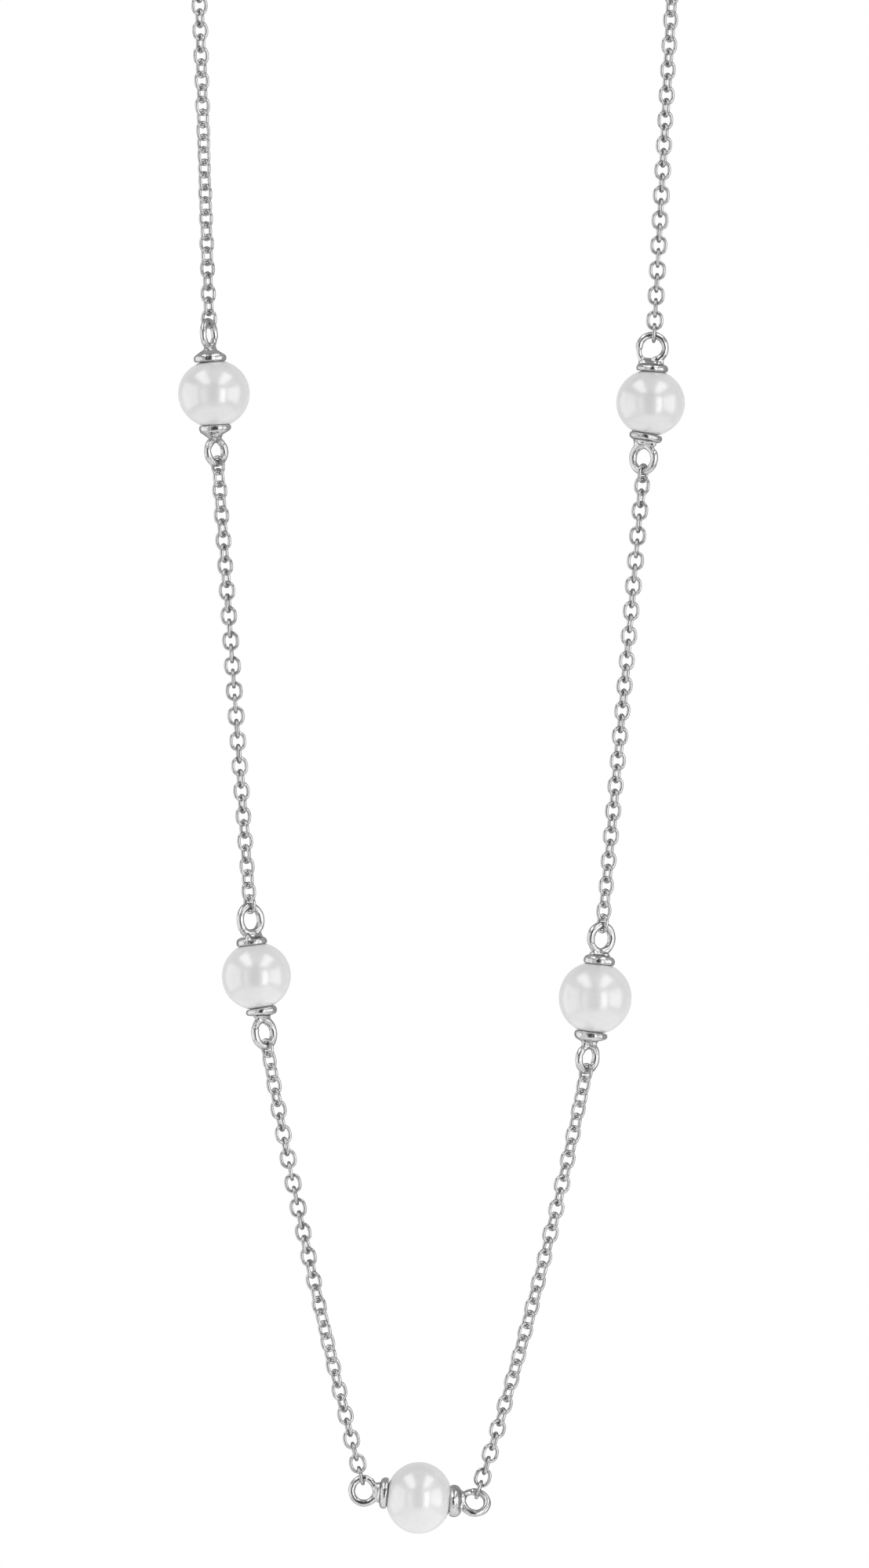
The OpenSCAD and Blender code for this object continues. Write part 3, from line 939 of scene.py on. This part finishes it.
def make_softbox(box):
    """A flat panel of light that the camera doesn't see. Its power is 4 x radiance x area."""
    data = bpy.data.lights.new(box.name, "AREA")
    data.shape = "RECTANGLE"
    data.size = box.size[0]
    data.size_y = box.size[1]
    data.energy = 4 * box.radiance * box.size[0] * box.size[1]
    panel = bpy.data.objects.new(box.name, data)
    panel.location = Vector(VIEW_CENTRE) + Vector(box.place)
    panel.rotation_euler = (-Vector(box.faces)).to_track_quat("Z", "Y").to_euler()
    panel.visible_camera = False
    bpy.context.scene.collection.objects.link(panel)


def make_world():
    """White behind the necklace, and a grey room in what the pearls and the silver mirror.

    The room's grey goes by the bearing, the angle whose tangent is X over -Y: it is dark in
    a tall slot round the lens, and light behind the necklace. Overhead it is one plain grey.
    """
    world = bpy.data.worlds.new("studio")
    world.use_nodes = True
    nodes = world.node_tree.nodes
    links = world.node_tree.links
    nodes.clear()
    coordinates = nodes.new("ShaderNodeTexCoord")
    parts = nodes.new("ShaderNodeSeparateXYZ")
    links.new(coordinates.outputs["Generated"], parts.inputs["Vector"])
    forward = nodes.new("ShaderNodeMath")
    forward.operation = "MULTIPLY"
    forward.inputs[1].default_value = -1
    links.new(parts.outputs["Y"], forward.inputs[0])
    bearing = nodes.new("ShaderNodeMath")
    bearing.operation = "ARCTAN2"
    links.new(parts.outputs["X"], bearing.inputs[0])
    links.new(forward.outputs["Value"], bearing.inputs[1])
    across = nodes.new("ShaderNodeMapRange")
    across.inputs["From Min"].default_value = math.radians(-180)
    across.inputs["From Max"].default_value = math.radians(180)
    links.new(bearing.outputs["Value"], across.inputs["Value"])
    ramp = nodes.new("ShaderNodeValToRGB")
    elements = ramp.color_ramp.elements
    stops = [(degrees / 360 + 0.5, grey(tone)) for degrees, tone in ROOM_TONES]
    elements[0].position = stops[0][0]
    elements[0].color = stops[0][1]
    elements[1].position = stops[-1][0]
    elements[1].color = stops[-1][1]
    for position, colour in stops[1:-1]:
        elements.new(position).color = colour
    links.new(across.outputs["Result"], ramp.inputs["Fac"])
    overhead = nodes.new("ShaderNodeMapRange")
    overhead.interpolation_type = "SMOOTHSTEP"
    overhead.inputs["From Min"].default_value = OVERHEAD_FROM
    overhead.inputs["From Max"].default_value = OVERHEAD_FULL
    links.new(parts.outputs["Z"], overhead.inputs["Value"])
    whole = nodes.new("ShaderNodeMix")
    whole.data_type = "RGBA"
    whole.inputs["B"].default_value = grey(OVERHEAD_TONE)
    links.new(overhead.outputs["Result"], whole.inputs["Factor"])
    links.new(ramp.outputs["Color"], whole.inputs["A"])
    room = nodes.new("ShaderNodeBackground")
    links.new(whole.outputs["Result"], room.inputs["Color"])
    white = nodes.new("ShaderNodeBackground")
    white.inputs["Color"].default_value = grey(1)
    path = nodes.new("ShaderNodeLightPath")
    mix = nodes.new("ShaderNodeMixShader")
    output = nodes.new("ShaderNodeOutputWorld")
    links.new(path.outputs["Is Camera Ray"], mix.inputs["Fac"])
    links.new(room.outputs["Background"], mix.inputs[1])
    links.new(white.outputs["Background"], mix.inputs[2])
    links.new(mix.outputs["Shader"], output.inputs["Surface"])
    bpy.context.scene.world = world


def make_floor():
    """A pale floor under the necklace that fades out into the white room."""
    mesh = bpy.data.meshes.new("pale_floor")
    signs = [(-1, -1), (1, -1), (1, 1), (-1, 1)]
    corners = [(x * FLOOR_HALF, y * FLOOR_HALF, FLOOR_Z) for x, y in signs]
    mesh.from_pydata(corners, [], [(0, 1, 2, 3)])
    floor = bpy.data.objects.new("pale_floor", mesh)
    bpy.context.scene.collection.objects.link(floor)
    material, nodes, links, shader, place = new_material("pale_floor")
    shader.inputs["Base Color"].default_value = grey(FLOOR_TONE)
    shader.inputs["Roughness"].default_value = 0.8
    distance = nodes.new("ShaderNodeVectorMath")
    distance.operation = "LENGTH"
    links.new(place, distance.inputs[0])
    fade = nodes.new("ShaderNodeMapRange")
    fade.interpolation_type = "SMOOTHSTEP"
    fade.inputs["From Min"].default_value = FLOOR_FADES
    fade.inputs["From Max"].default_value = FLOOR_GONE
    links.new(distance.outputs["Value"], fade.inputs["Value"])
    clear = nodes.new("ShaderNodeBsdfTransparent")
    mix = nodes.new("ShaderNodeMixShader")
    links.new(fade.outputs["Result"], mix.inputs["Fac"])
    links.new(shader.outputs["BSDF"], mix.inputs[1])
    links.new(clear.outputs["BSDF"], mix.inputs[2])
    links.new(mix.outputs["Shader"], nodes["Material Output"].inputs["Surface"])
    floor.data.materials.append(material)


make_camera()
make_world()
make_floor()
for box in SOFTBOXES:
    make_softbox(box)
bpy.context.scene.view_settings.view_transform = "Standard"

cast_silver = make_silver(CAST_SILVER)
wire_silver = make_silver(WIRE_SILVER)
clasp_silver = make_silver(CLASP_SILVER)

for pearl in PEARLS.values():
    make_pearl(pearl, make_nacre(pearl))
for cap in CAPS:
    make_cap(cap, cast_silver)
for run in RUNS:
    make_run(run, wire_silver)

clasp_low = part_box("clasp")[0]
ring_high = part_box("end_ring")[1]
left_hook_x = clasp_low.x / MM + CLASP_EYE_WIRE + LINK_WIRE_R + HOOK_GAP
right_hook_x = ring_high.x / MM - END_RING_WIRE - LINK_WIRE_R - HOOK_GAP
make_upper(UPPER_LEFT, left_hook_x, wire_silver)
make_upper(UPPER_RIGHT, right_hook_x, wire_silver)

for node in ("clasp", "end_ring"):
    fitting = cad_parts[node]
    fitting.data.materials.clear()
    fitting.data.materials.append(clasp_silver)
